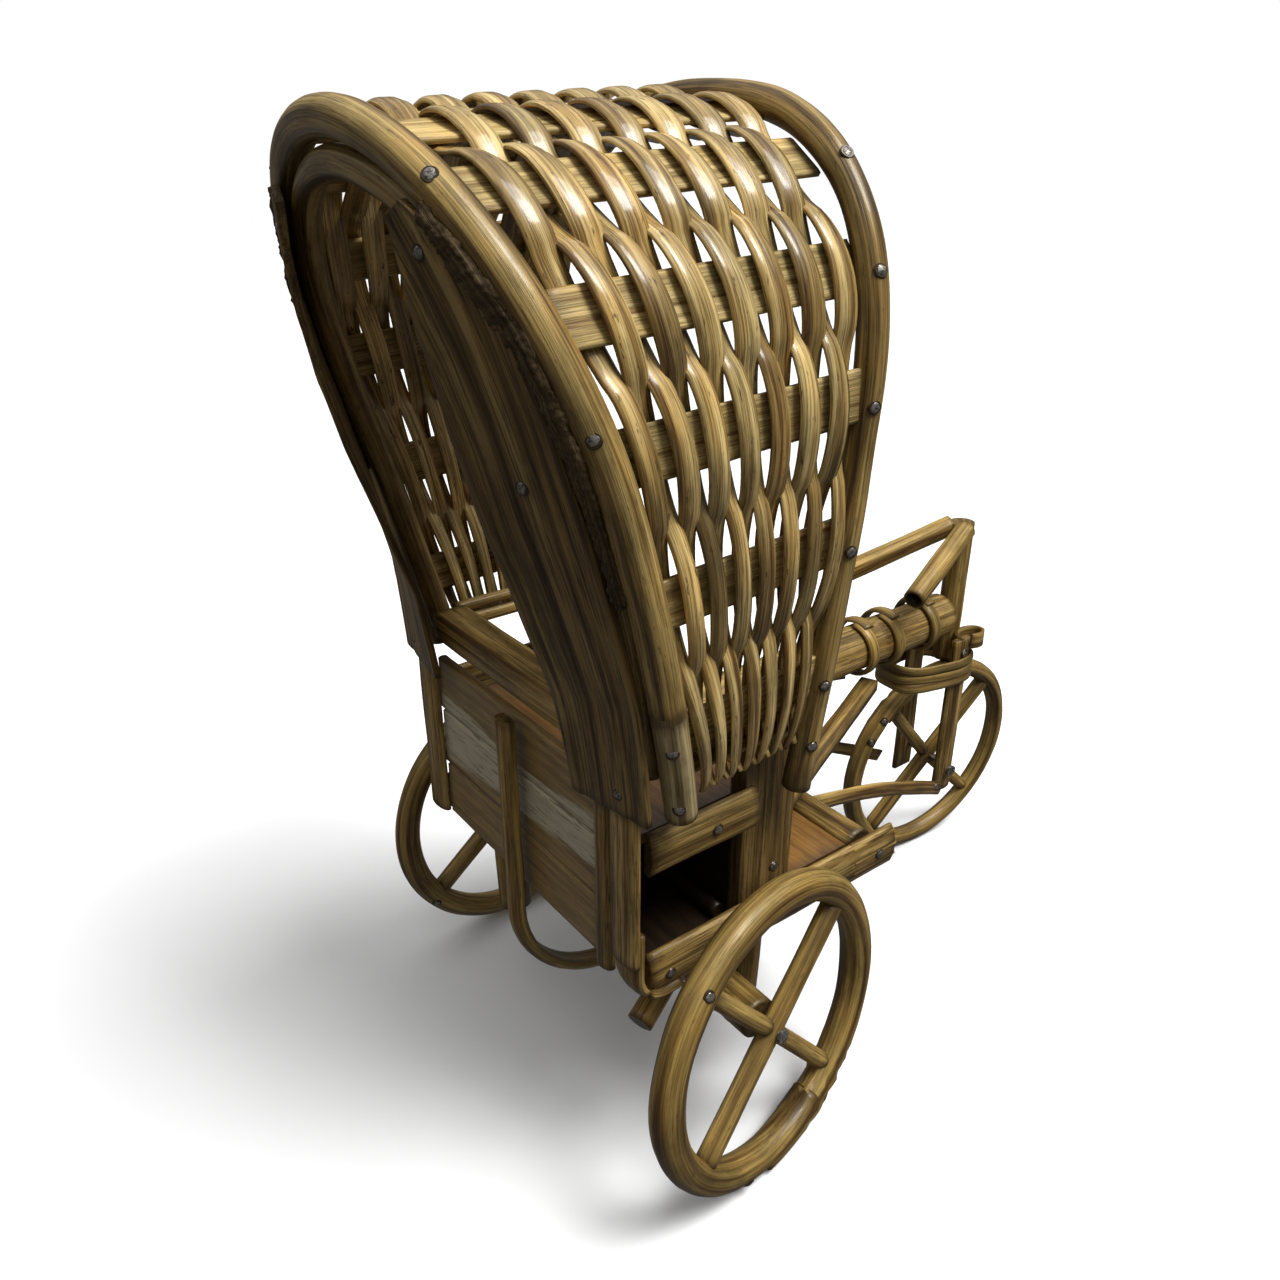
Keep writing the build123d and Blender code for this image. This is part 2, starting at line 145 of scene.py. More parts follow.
def cane_finish(name, pale, mid, dark, fibre=2.6, lines=0.5, stains=0.5, rough=0.38, coat=0.25,
                relief=0.00022):
    """Varnished cane or bamboo: fine dark fibres, long streaks, brown stains, and a tone for each strip."""
    material, nodes, links, surface = new_finish(name)
    grain = attribute(nodes, "grain").outputs["Vector"]
    fibres = stretched_noise(nodes, links, grain, (0.02, 1, 1), fibre, 5, 0.6)
    streaks = stretched_noise(nodes, links, grain, (0.03, 1, 1), fibre * 0.34, 3)
    patches = stretched_noise(nodes, links, grain, (0.45, 1, 1), 0.13, 4, 0.6)
    flecks = stretched_noise(nodes, links, grain, (0.25, 1, 1), 1.0, 3, 0.7)
    colour = ramp(nodes, links, streaks, [(0.34, dark), (0.48, mid), (0.64, pale)])
    creases = ramp(nodes, links, fibres, [
        (0.40, grey(0.95)), (0.455, grey(lines)), (0.51, grey(1.0)), (0.60, grey(1.14)),
        (0.67, grey(lines + 0.25)),
    ])
    colour = mixed(nodes, links, 1.0, colour, creases, "MULTIPLY")
    shade = ramp(nodes, links, patches, [
        (0.33, (0.64, 0.64, 0.60)), (0.50, grey(1.0)), (0.68, (1.20, 1.12, 1.0)),
    ])
    colour = mixed(nodes, links, 1.0, colour, shade, "MULTIPLY")
    tone = sum_of(nodes, links, "ADD", attribute(nodes, "tone").outputs["Fac"], 1.0)
    colour = mixed(nodes, links, 1.0, colour, tone, "MULTIPLY")
    spots = ramp(nodes, links, flecks, [(0.62, grey(0)), (0.70, grey(stains))])
    colour = mixed(nodes, links, spots, colour, STAIN_BROWN)
    ragged = sum_of(nodes, links, "ADD", streaks, 0.45)
    ragged = sum_of(nodes, links, "MULTIPLY", attribute(nodes, "stain").outputs["Fac"], ragged)
    colour = mixed(nodes, links, sum_of(nodes, links, "MINIMUM", ragged, 0.96), colour, STAIN_BROWN)
    links.new(colour, surface.inputs["Base Color"])
    gloss = ramp(nodes, links, patches, [(0.3, grey(rough + 0.14)), (0.7, grey(rough - 0.08))])
    links.new(gloss, surface.inputs["Roughness"])
    surface.inputs["Specular IOR Level"].default_value = 0.35
    surface.inputs["Specular Tint"].default_value = (1.0, 0.86, 0.62, 1)
    surface.inputs["Coat Weight"].default_value = coat
    surface.inputs["Coat Roughness"].default_value = 0.14
    height = sum_of(nodes, links, "ADD", fibres, streaks)
    bump = nodes.new("ShaderNodeBump")
    bump.inputs["Strength"].default_value = 0.8
    bump.inputs["Distance"].default_value = relief
    links.new(height, bump.inputs["Height"])
    links.new(bump.outputs[0], surface.inputs["Normal"])
    return material


def board_finish(name, pale, dark, bare=None):
    """Thin plywood under amber varnish; where its bare attribute says so, the skin is off and it is pale."""
    material, nodes, links, surface = new_finish(name)
    grain = attribute(nodes, "grain").outputs["Vector"]
    figure = stretched_noise(nodes, links, grain, (0.06, 1, 1), 0.55, 5, 0.6)
    fibres = stretched_noise(nodes, links, grain, (0.03, 1, 1), 2.4, 4)
    cracks = stretched_noise(nodes, links, grain, (0.09, 1, 1), 1.3, 3, 0.6)
    colour = ramp(nodes, links, figure, [(0.32, dark), (0.62, pale)])
    fine = ramp(nodes, links, fibres, [
        (0.38, grey(1.0)), (0.45, grey(0.42)), (0.52, grey(1.0)), (0.66, grey(0.8)),
    ])
    colour = mixed(nodes, links, 0.85, colour, fine, "MULTIPLY")
    if bare:
        split = ramp(nodes, links, cracks, [(0.36, grey(0.45)), (0.46, grey(1.0))])
        wood = mixed(nodes, links, 1.0, mixed(nodes, links, 0.45, bare, fine, "MULTIPLY"), split, "MULTIPLY")
        share = sum_of(nodes, links, "ADD", attribute(nodes, "bare").outputs["Fac"], figure)
        share = ramp(nodes, links, share, [(0.86, grey(0)), (1.0, grey(0.92))])
        colour = mixed(nodes, links, share, colour, wood)
    dirt = attribute(nodes, "stain").outputs["Fac"]
    colour = mixed(nodes, links, dirt, colour, STAIN_BROWN)
    links.new(colour, surface.inputs["Base Color"])
    surface.inputs["Roughness"].default_value = 0.42
    surface.inputs["Coat Weight"].default_value = 0.15
    surface.inputs["Coat Roughness"].default_value = 0.25
    bump = nodes.new("ShaderNodeBump")
    bump.inputs["Strength"].default_value = 0.6
    bump.inputs["Distance"].default_value = 0.0002
    links.new(sum_of(nodes, links, "ADD", figure, fibres), bump.inputs["Height"])
    links.new(bump.outputs[0], surface.inputs["Normal"])
    return material


def nail_finish(name, bright, dull):
    """Wire-nail steel, dented by the hammer and smeared with old varnish."""
    material, nodes, links, surface = new_finish(name)
    place = nodes.new("ShaderNodeTexCoord").outputs["Object"]
    dents = stretched_noise(nodes, links, place, (1, 1, 1), 1500, 3, 0.6)
    links.new(ramp(nodes, links, dents, [(0.36, dull), (0.6, bright)]), surface.inputs["Base Color"])
    links.new(ramp(nodes, links, dents, [(0.3, grey(0.55)), (0.7, grey(0.28))]), surface.inputs["Roughness"])
    surface.inputs["Metallic"].default_value = 0.75
    bump = nodes.new("ShaderNodeBump")
    bump.inputs["Strength"].default_value = 0.5
    bump.inputs["Distance"].default_value = 0.0002
    links.new(dents, bump.inputs["Height"])
    links.new(bump.outputs[0], surface.inputs["Normal"])
    return material


GOLDEN_CANE = cane_finish("golden_cane", (0.42, 0.285, 0.085), (0.25, 0.155, 0.042), (0.09, 0.046, 0.012),
                          fibre=1.7, lines=0.50, coat=0.15)
ARCH_CANE_FINISH = cane_finish("arch_cane", (0.44, 0.31, 0.11), (0.27, 0.17, 0.05), (0.085, 0.045, 0.013),
                               fibre=1.6, lines=0.40, rough=0.34, coat=0.25)
STAKE_FINISH = cane_finish("woven_split_cane", (0.58, 0.43, 0.18), (0.34, 0.22, 0.07), (0.11, 0.055, 0.015),
                           fibre=1.7, lines=0.32, stains=0.8, rough=0.28, coat=0.5)
WEFT_FINISH = cane_finish("flat_bamboo", (0.56, 0.42, 0.18), (0.42, 0.30, 0.11), (0.22, 0.13, 0.04),
                          fibre=2.4, lines=0.5, stains=0.15, rough=0.45, coat=0.1)
BAMBOO_FINISH = cane_finish("split_bamboo", (0.38, 0.255, 0.085), (0.22, 0.135, 0.038), (0.07, 0.036, 0.010),
                            fibre=1.5, lines=0.30, coat=0.12, relief=0.0003)
SLAT_FINISH = cane_finish("ribbed_slat", (0.27, 0.18, 0.062), (0.165, 0.10, 0.031), (0.05, 0.027, 0.009),
                          fibre=1.15, lines=0.20, stains=0.2, rough=0.42, coat=0.08, relief=0.0004)
PALE_CANE = cane_finish("pale_cane", (0.46, 0.37, 0.19), (0.34, 0.26, 0.12), (0.16, 0.11, 0.045),
                        fibre=1.4, lines=0.5, stains=0.2, rough=0.40, coat=0.1)
PITH_FINISH = cane_finish("torn_pith", (0.13, 0.09, 0.045), (0.07, 0.046, 0.022), (0.022, 0.014, 0.007),
                          fibre=3.5, stains=0.3, rough=0.8, coat=0.0, relief=0.0006)
SEAT_FINISH = board_finish("amber_board", (0.26, 0.125, 0.026), (0.13, 0.055, 0.011))
# Near-black board colour: painted shade of the dark space under the seat, used for the floor board, the seat
# riser and its batten.
PAINTED_SHADE_BOARD = board_finish("inner_board", (0.022, 0.011, 0.004), (0.008, 0.004, 0.002))
BACK_FINISH = board_finish("back_board", (0.37, 0.235, 0.075), (0.17, 0.10, 0.029), (0.56, 0.49, 0.33))
STEEL = nail_finish("nail_steel", (0.30, 0.28, 0.25), (0.05, 0.045, 0.038))
DARK_RING = cane_finish("varnish_ring", (0.05, 0.028, 0.012), (0.03, 0.016, 0.007), (0.015, 0.008, 0.004),
                        rough=0.4, coat=0.3)


# ---------------------------------------------------------------- strips


def even(points, step):
    """The same line with its points a fixed distance apart."""
    line = [Vector(p) for p in points]
    lengths = [0.0]
    for a, b in zip(line, line[1:]):
        lengths.append(lengths[-1] + (b - a).length)
    count = max(2, round(lengths[-1] / step) + 1)
    result = []
    i = 0
    for k in range(count):
        goal = lengths[-1] * k / (count - 1)
        while i < len(line) - 2 and lengths[i + 1] < goal:
            i += 1
        span = max(lengths[i + 1] - lengths[i], 1e-9)
        result.append(line[i].lerp(line[i + 1], (goal - lengths[i]) / span))
    return result


def value_at(value, share):
    return value(share) if callable(value) else value


def signed_power(value, exponent):
    """A power that keeps its sign, to square off a circle."""
    return math.copysign(abs(value) ** exponent, value)


def shape_section(verts, section, ribs=0.0):
    """Turn a unit circle into a cross section: round, flat or half round, with a ribbed or smooth face."""
    for vert in verts:
        c, s = vert.co.x, vert.co.y
        if section == "flat":
            vert.co.x = max(-1.0, min(1.0, c * 1.06))
            vert.co.y = max(-1.0, min(1.0, s * 2.4))
        elif section == "half" and s < 0:
            vert.co.y = max(s, -0.45)
            vert.co.x = signed_power(c, 0.6)
        if ribs and s > 0.2:
            vert.co.y -= ribs * (0.5 + 0.5 * math.cos(c * 11 + 0.8))


def section_frame(centre, along, up, width, thick):
    """The section's axes: X across the strip, Y out of its face and Z along it."""
    side = up.cross(along).normalized()
    top = along.cross(side)
    matrix = Matrix((side * width / 2, top * thick / 2, along)).transposed().to_4x4()
    matrix.translation = centre
    return matrix


def strip(path, width, thick=None, up=FORWARD, section="round", sides=14, step=1.6,
          tone=0.0, seed=0, stain=0.0, wobble=0.12, cut=0.86, ribs=0.0, hollow=0.0):
    """One strip of cane or bamboo, extruded ring by ring along its line, with slightly uneven sides.

    Width, thick and stain may change along the strip, and up is the way its broad face looks. Cut is the size
    of its end faces, which are slightly rounded over, and hollow is how deep its far end is bored.
    """
    line = even(path, step)
    length = sum((b - a).length for a, b in zip(line, line[1:]))
    bm = bmesh.new()
    grain = bm.verts.layers.float_vector.new("grain")
    tones = bm.verts.layers.float.new("tone")
    stains = bm.verts.layers.float.new("stain")
    thick = width if thick is None else thick
    ring = bmesh.ops.create_circle(bm, cap_ends=True, segments=sides, radius=1.0)["verts"]
    shape_section(ring, section, ribs)
    edges = list(bm.edges)
    caps = list(edges)
    before = Matrix.Identity(4)
    last = len(line) - 1
    stations = [(0, 0.0, cut), (0, 0.12, 1.0)] + [(i, 0.0, 1.0) for i in range(1, last)]
    stations += [(last, -0.12, 1.0), (last, 0.0, cut)]
    if hollow:
        stations += [(last, 0.0, 0.74), (last, -hollow, 0.66)]
    for number, (i, inset, size) in enumerate(stations):
        share = i / last
        along = (line[min(i + 1, last)] - line[max(i - 1, 0)]).normalized()
        out = up(share, line[i], along) if callable(up) else up
        far = share * length
        uneven = 1 + wobble * 0.5 * noise.noise(Vector((far / 14, seed * 3.7, 1.5)))
        shift = wobble * 0.8 * Vector((
            noise.noise(Vector((far / 17, seed * 2.1, 4.0))),
            noise.noise(Vector((far / 17, seed * 2.1, 8.0))),
            0,
        ))
        place = section_frame(
            line[i] + along * inset, along, out,
            value_at(width, share) * size * uneven, value_at(thick, share) * size * uneven,
        )
        place.translation += place.to_3x3().normalized() @ shift
        if number:
            made = bmesh.ops.extrude_edge_only(bm, edges=edges)["geom"]
            ring = [g for g in made if isinstance(g, bmesh.types.BMVert)]
            new = set(ring)
            edges = [g for g in made if isinstance(g, bmesh.types.BMEdge) and set(g.verts) <= new]
        if size == cut and number:
            caps += edges
        bmesh.ops.transform(bm, matrix=place @ before.inverted(), verts=ring)
        before = place
        undo = place.to_3x3().normalized().inverted()
        for vert in ring:
            local = undo @ (vert.co - place.translation)
            vert[grain] = (far + seed * 61.7, local.x + seed * 13.1, local.y + seed * 7.9)
            vert[tones] = tone
            vert[stains] = 1.6 if size < cut else max(value_at(stain, share), 0.0)
    bmesh.ops.edgeloop_fill(bm, edges=edges)
    caps += edges
    for face in bm.faces:
        face.smooth = len(face.verts) == 4
    for edge in caps:
        edge.smooth = False
    return bm


def roughen(bm, amount_at, fineness=0.9):
    """Break a strip's skin into ridges and hollows where amount_at, in millimetres, says so."""
    bm.normal_update()
    for vert in bm.verts:
        amount = amount_at(vert.co)
        if amount > 0:
            vert.co += vert.normal * amount * noise.noise(vert.co * fineness)
    return bm


def piece(name, parts, finish, body="frame", stands_for=()):
    """Join strips into one piece, put it in the frame and let it ride on its body."""
    whole = bmesh.new()
    for part in parts:
        mesh = bpy.data.meshes.new("strip")
        part.to_mesh(mesh)
        part.free()
        whole.from_mesh(mesh)
        bpy.data.meshes.remove(mesh)
    bmesh.ops.transform(whole, matrix=TO_FRAME, verts=whole.verts)
    bmesh.ops.recalc_face_normals(whole, faces=whole.faces)
    mesh = bpy.data.meshes.new(name)
    whole.to_mesh(mesh)
    whole.free()
    made = bpy.data.objects.new(name, mesh)
    bpy.context.scene.collection.objects.link(made)
    mesh.materials.append(finish)
    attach(made, body)
    if stands_for:
        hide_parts(*stands_for)
    return made


def ends_dark(amount=0.8, reach=0.06):
    """A stain that gathers at both cut ends."""
    return lambda share: amount * max(0.0, 1 - min(share, 1 - share) / reach)


def tone_of(seed, spread=0.22):
    """A strip's own brightness, above or below the finish's."""
    return spread * 2 * noise.noise(Vector((seed * 1.37, 5.5, 2.2)))


# ---------------------------------------------------------------- nails


def nail_heads(name, places, body="frame", size=1.05):
    """Hammered wire-nail heads, each in a dark ring of varnish. A place is a point and its outward way."""
    heads, rings = [], []
    for number, (point, outward) in enumerate(places):
        turn = Vector(outward).normalized().to_track_quat("Z", "Y").to_matrix().to_4x4()
        here = Matrix.Translation(point) @ turn @ Matrix.Rotation(number * 1.7, 4, "Z")
        head = bmesh.new()
        bmesh.ops.create_icosphere(head, subdivisions=2, radius=1.0)
        bmesh.ops.scale(head, vec=(size, size * 0.86, 0.30), verts=head.verts)
        for vert in head.verts:
            vert.co *= 1 + 0.22 * noise.noise(vert.co * 1.9 + Vector((number * 5.1, 0, 0)))
        bmesh.ops.transform(head, matrix=here @ Matrix.Translation((0, 0, 0.10)), verts=head.verts)
        heads.append(head)
        ring = bmesh.new()
        wide, narrow = size * 1.34, size * 1.16
        bmesh.ops.create_cone(ring, cap_ends=True, segments=18, radius1=wide, radius2=narrow, depth=0.3)
        for vert in ring.verts:
            vert.co *= 1 + 0.16 * noise.noise(Vector((vert.co.x, vert.co.y, number * 3.3)))
        bmesh.ops.transform(ring, matrix=here, verts=ring.verts)
        rings.append(ring)
    piece(name, heads, STEEL, body)
    piece(name + "_rings", rings, DARK_RING, body)


# ---------------------------------------------------------------- wheels

RIMS = {"right": (38.0, 3.8), "left": (38.0, 3.4), "front": (34.9, 2.8)}
FULL_SPOKE = {"right": 41, "left": 36, "front": 46}
HALF_SPOKES = {"right": (131, 310), "left": (128, 304), "front": (131, 317)}
SPOKE_WIDTH = {"right": 5.0, "left": 5.0, "front": 4.6}
SCARF_AT = {"right": 262, "left": 96, "front": 104}
SCARF = 34                   # degrees of rim over which its two tapered ends lie on each other
BARK_AT = {"right": 303, "left": 110, "front": 122}      # the middle of the stretch where the skin is torn
BARK_REACH = {"right": 20, "left": 12, "front": 24}      # degrees of rim that it reaches either way
BARK_RELIEF = 0.9


def wheel_axes(tag):
    """A wheel's own frame: X forward, Y along its nail to the left, Z up."""
    joint = SPINS[tag]
    axle = Vector(joint["axis"]).normalized()
    forward = Vector((axle.y, -axle.x, 0)).normalized()
    matrix = Matrix((forward, axle, forward.cross(axle))).transposed().to_4x4()
    matrix.translation = TO_LAYOUT @ Vector(joint["pos_m"])
    return matrix


def wheel_point(tag, angle, radius, aside=0.0):
    a = math.radians(angle)
    return wheel_axes(tag) @ Vector((radius * math.cos(a), aside, radius * math.sin(a)))


def make_rim(tag):
    """A cane bent into a ring; its ends are pared to half thickness and nailed one over the other."""
    outer, half = RIMS[tag]
    turn = 360 + SCARF
    taper = SCARF / turn

    def pared(share):
        return half * 2 * (0.5 + 0.5 * min(1.0, share / taper, (1 - share) / taper))

    path = []
    for i in range(141):
        share = i / 140
        out = 0.5 * half * max(0.0, 1 - share / taper) - 0.5 * half * max(0.0, 1 - (1 - share) / taper)
        path.append(wheel_point(tag, SCARF_AT[tag] + turn * share, outer - half + out))
    axis = wheel_axes(tag).to_3x3() @ Vector((0, 1, 0))
    rim = strip(path, pared, half * 2, axis, tone=tone_of(len(tag)), seed=len(tag) + 2,
                stain=ends_dark(0.75, 0.05), step=1.7, wobble=0.10, sides=20)

    def torn(point):
        local = wheel_axes(tag).inverted() @ point
        angle = math.degrees(math.atan2(local.z, local.x)) % 360
        far = abs(angle - BARK_AT[tag]) / BARK_REACH[tag]
        return BARK_RELIEF * (1 - far) ** 0.5 if far < 1 else 0.0

    roughen(rim, torn, 0.55)
    piece("rim_cane_" + tag, [rim], GOLDEN_CANE, "wheel_" + tag, ["rim_" + tag])


def make_spokes(tag):
    outer, half = RIMS[tag]
    reach = outer - 2 * half + 0.8
    full, width = FULL_SPOKE[tag], SPOKE_WIDTH[tag]
    axis = wheel_axes(tag).to_3x3() @ Vector((0, 1, 0))
    spokes = [strip([wheel_point(tag, full, -reach), wheel_point(tag, full, reach)], width, up=axis,
                    seed=3 + len(tag), stain=ends_dark(0.7, 0.07), tone=-0.05)]
    for number, angle in enumerate(HALF_SPOKES[tag]):
        ends = [wheel_point(tag, angle, width / 2 + 0.1), wheel_point(tag, angle, reach)]
        stain = ends_dark(0.8, 0.14)
        spokes.append(strip(ends, width * 0.86, up=axis, seed=6 + number, stain=stain, tone=0.08))
    piece("spoke_canes_" + tag, spokes, GOLDEN_CANE, "wheel_" + tag, ["spokes_" + tag])


def make_wheel_nails(tag, angles, side):
    """Nails through the rim: each angle, and how far its head stands towards the wheel's outer face."""
    outer, half = RIMS[tag]
    axes = wheel_axes(tag).to_3x3()
    places = []
    for angle, lean in angles:
        a = math.radians(angle)
        outward = Vector((math.cos(a) * math.cos(lean), side * math.sin(lean), math.sin(a) * math.cos(lean)))
        point = wheel_point(tag, angle, outer - half) + axes @ outward * (half + 0.02)
        places.append((point, axes @ outward))
    nail_heads("rim_nails_" + tag, places, "wheel_" + tag)


def make_wheels():
    for tag in SPINS:
        make_rim(tag)
        make_spokes(tag)
    make_wheel_nails("right", ((131, 1.1), (250, 0.9)), -1)
    make_wheel_nails("left", ((134, 1.1), (216, 1.0), (310, 1.0)), -1)
    make_wheel_nails("front", ((139, 1.2), (152, 1.2)), -1)
    for tag in SPINS:
        nail = frame["nodes"]["nail_" + tag]
        nail.data.materials.clear()
        nail.data.materials.append(STEEL)


# ---------------------------------------------------------------- hood

HOOD_FOOT_Z, HOOD_SPRING_Z, HOOD_TOP_Z = 104.0, 168.0, 222.8
HOOD_HALF, HOOD_FOOT_HALF = 52.2, 48.6
HOOD_RISE = 0.056
WEFT_HEIGHTS = (118.5, 147.0, 174.0, 195.3, 212.6, 220.6)
STAKES = 14
STAKE_LIFT = 2.1
STAKE_THICK = 1.9
WEFT_WIDTH, RIDGE_WIDTH = 9.6, 8.0


def rear_lean(z):
    """How far forward the rear arch's middle is at a height: it bows backwards as it rises."""
    u = (z - 104.0) / 117.3
    return -21.3 - 22.6 * u - 12.0 * u * u


def front_lean(z):
    """How far forward the straight front arch's middle is at a height."""
    return 13.0 + (z - 100.0) * math.tan(math.radians(4.4))


def arch_points(half, foot_half, foot, spring, top, roundness, lean, shift=0.0):
    """A line over the hood from right to left: legs that draw in towards their feet, and a rounded top."""
    aside, upward = roundness
    points = []
    for i in range(24):
        f = i / 24
        z = foot + (spring - foot) * f
        width = foot_half + (half - foot_half) * math.sin(f * math.pi / 2)
        points.append(Vector((lean(z) + shift, -width, z)))
    for i in range(61):
        t = math.pi * i / 60
        z = spring + (top - spring) * math.sin(t) ** upward
        points.append(Vector((lean(z) + shift, -half * signed_power(math.cos(t), aside), z)))
    return points + [Vector((p.x, -p.y, p.z)) for p in reversed(points[:24])]


def upright(z):
    return 0.0


HOOD_LINE = even(arch_points(HOOD_HALF, HOOD_FOOT_HALF, HOOD_FOOT_Z, HOOD_SPRING_Z, HOOD_TOP_Z, (1.0, 0.93),
                             upright), 1.0)
WEFT_SPOTS = [next(i for i, p in enumerate(HOOD_LINE) if p.z >= height) for height in WEFT_HEIGHTS]
WEFT_SPOTS += [len(HOOD_LINE) // 2] + [len(HOOD_LINE) - 1 - i for i in reversed(WEFT_SPOTS)]


def hood_way(i):
    """The way the hood's section runs at one of its points."""
    return HOOD_LINE[min(i + 1, len(HOOD_LINE) - 1)] - HOOD_LINE[max(i - 1, 0)]


def hood_normal(i):
    along = hood_way(i)
    return Vector((0, -along.z, along.y)).normalized()


def weave_phase(i):
    """How many wefts lie below a place on the line, with the part of the way to the next."""
    if i <= WEFT_SPOTS[0]:
        return (i - WEFT_SPOTS[0]) / (WEFT_SPOTS[1] - WEFT_SPOTS[0])
    for k, (low, high) in enumerate(zip(WEFT_SPOTS, WEFT_SPOTS[1:])):
        if i <= high:
            return k + (i - low) / (high - low)
    return len(WEFT_SPOTS) - 1 + (i - WEFT_SPOTS[-1]) / (WEFT_SPOTS[1] - WEFT_SPOTS[0])


def stake_pitch(z):
    return 1.895 + 0.02393 * (z - 107)


def stake_middle(z):
    return -2.9 - 0.1056 * (z - 107)


def stake_strip(number):
    """One woven stake: outside and inside the wefts in turn, and crowding its neighbours at its feet."""
    sign = 1 if number % 2 == 0 else -1
    points, ups = [], []
    for i, p in enumerate(HOOD_LINE):
        normal = hood_normal(i)
        phase = weave_phase(i)
        wave = math.cos(phase * math.pi)
        x = stake_middle(p.z) + (number - (STAKES - 1) / 2) * stake_pitch(p.z)
        sway = 0.35 * noise.noise(Vector((i / 16, number * 2.3, 0)))
        lift = sign * STAKE_LIFT * signed_power(wave, 0.7)
        here = p + normal * lift
        points.append(Vector((x + sway, here.y, here.z + HOOD_RISE * (x + 17))))
        crowd = max(0.0, 1 - (p.z - 106) / 24)
        turn = math.radians(38 * crowd + 9 * math.sin(phase * math.pi) * sign)
        ups.append(Matrix.Rotation(turn if p.y < 0 else -turn, 3, hood_way(i)) @ normal)

    def face(share, point, along):
        return ups[round(share * (len(ups) - 1))]

    def wide(share):
        z = HOOD_LINE[round(share * (len(HOOD_LINE) - 1))].z
        return min(5.3, max(3.5, 1.24 * stake_pitch(z)))

    def blotch(share):
        return max(0.0, 1.6 * noise.noise(Vector((share * 9, number * 4.4, 3.0))) - 0.35)

    seed = number + 20
    return strip(points, wide, STAKE_THICK, face, "half", 16, tone=tone_of(seed, 0.30), seed=seed,
                 stain=blotch, wobble=0.16, cut=0.7, ribs=0.16)


def make_stakes():
    for name, first in (("stakes_over", 0), ("stakes_under", 1)):
        strips = [stake_strip(number) for number in range(first, STAKES, 2)]
        piece("hood_" + name, strips, STAKE_FINISH, stands_for=[name])


def weft_strip(k):
    spot = WEFT_SPOTS[k]
    here, normal = HOOD_LINE[spot], hood_normal(spot)
    start, end = rear_lean(here.z - 4) + 1.5, front_lean(here.z) - 1.2
    points = []
    for i in range(21):
        x = start + (end - start) * i / 20
        points.append(Vector((x, here.y, here.z + HOOD_RISE * (x + 17))))
    width = RIDGE_WIDTH if k == len(WEFT_SPOTS) // 2 else WEFT_WIDTH
    seed = k + 60
    return strip(points, width, 1.15, normal, "flat", 20, 1.8, tone=tone_of(seed, 0.12), seed=seed,
                 stain=ends_dark(0.6, 0.05), wobble=0.06, cut=0.9)


def make_wefts():
    middle = len(WEFT_SPOTS) // 2
    groups = (
        ("wefts_right", range(0, middle)), ("weft_ridge", (middle,)),
        ("wefts_left", range(middle + 1, len(WEFT_SPOTS))),
    )
    for name, numbers in groups:
        piece("hood_" + name, [weft_strip(k) for k in numbers], WEFT_FINISH, stands_for=[name])


REAR_ARCH = even(arch_points(52.6, 49.2, 100.5, 163.5, 221.3, (1.0, 1.0), rear_lean), 1.6)
INNER_ARCH = even(arch_points(46.2, 42.8, 108.0, 163.5, 214.6, (1.0, 1.0), rear_lean, -1.0), 1.6)
FRONT_ARCH = even(arch_points(51.7, 47.6, 93.0, 173.0, 225.6, (0.8, 0.8), front_lean), 1.6)
NODE_AT = 0.085              # share of the rear arch where its right leg has a node


def make_arches():
    def node_stain(share):
        return 0.9 * max(0.0, 1 - abs(share - NODE_AT) / 0.010) + ends_dark(0.5, 0.01)(share)

    def node_width(share):
        return 6.8 * (1 + 0.05 * max(0.0, 1 - abs(share - NODE_AT) / 0.012))

    rear = strip(REAR_ARCH, node_width, node_width, seed=81, stain=node_stain, sides=20, step=1.5)
    arch = piece("rear_arch_cane", [rear], ARCH_CANE_FINISH, stands_for=["arch_rear"])
    arch.data.materials.append(PALE_CANE)
    node_z = (TO_FRAME @ REAR_ARCH[round(NODE_AT * len(REAR_ARCH))]).z
    for face in arch.data.polygons:
        face.material_index = int(face.center.z < node_z and face.center.y < 0)
    inner = strip(INNER_ARCH, 5.6, seed=82, stain=ends_dark(0.6, 0.02), sides=18, tone=-0.12)
    piece("inner_arch_cane", [inner], ARCH_CANE_FINISH, stands_for=["arch_rear_inner"])
    front = strip(FRONT_ARCH, 6.0, seed=83, stain=ends_dark(0.8, 0.03), sides=18, tone=-0.15)
    piece("front_arch_cane", [front], ARCH_CANE_FINISH, stands_for=["arch_front"])


def leg_point(line, side, z):
    """The point of an arch's line nearest to a height, on one side."""
    return min((p for p in line if p.y * side > 0), key=lambda p: abs(p.z - z))


def arch_nails(line, heights, radius, outward_of):
    places = []
    for height in heights:
        for side in (-1, 1):
            point = leg_point(line, side, height)
            outward = outward_of(side, height).normalized()
            places.append((point + outward * radius, outward))
    return places


def make_hood_nails():
    """Wefts are nailed to the front arch from outside; the rear arch is nailed from behind."""
    def sideways(side, z):
        return Vector((-0.25, side * 0.9, 0.1 + max(0.0, (z - 185) / 40)))

    def backwards(side, z):
        return Vector((-0.65, side * 0.75, 0.15 + max(0.0, (z - 185) / 60)))

    nail_heads("front_arch_nails", arch_nails(FRONT_ARCH, (104, 119, 147, 174, 196, 214), 3.0, sideways))
    nail_heads("rear_arch_nails", arch_nails(REAR_ARCH, (103.5, 118, 177, 212), 3.35, backwards))


def make_hood_rails():
    for side, tag in ((-1, "right"), (1, "left")):
        rails = []
        for number, (z, width) in enumerate(((110.4, 3.0), (106.6, 3.8))):
            ends = [Vector((-19, side * 43.9, z)), Vector((11, side * 43.9, z))]
            rails.append(strip(ends, width, up=UPWARD, seed=90 + number, stain=ends_dark(), tone=0.05))
        piece("hood_rail_canes_" + tag, rails, GOLDEN_CANE, stands_for=["hood_rail_" + tag])


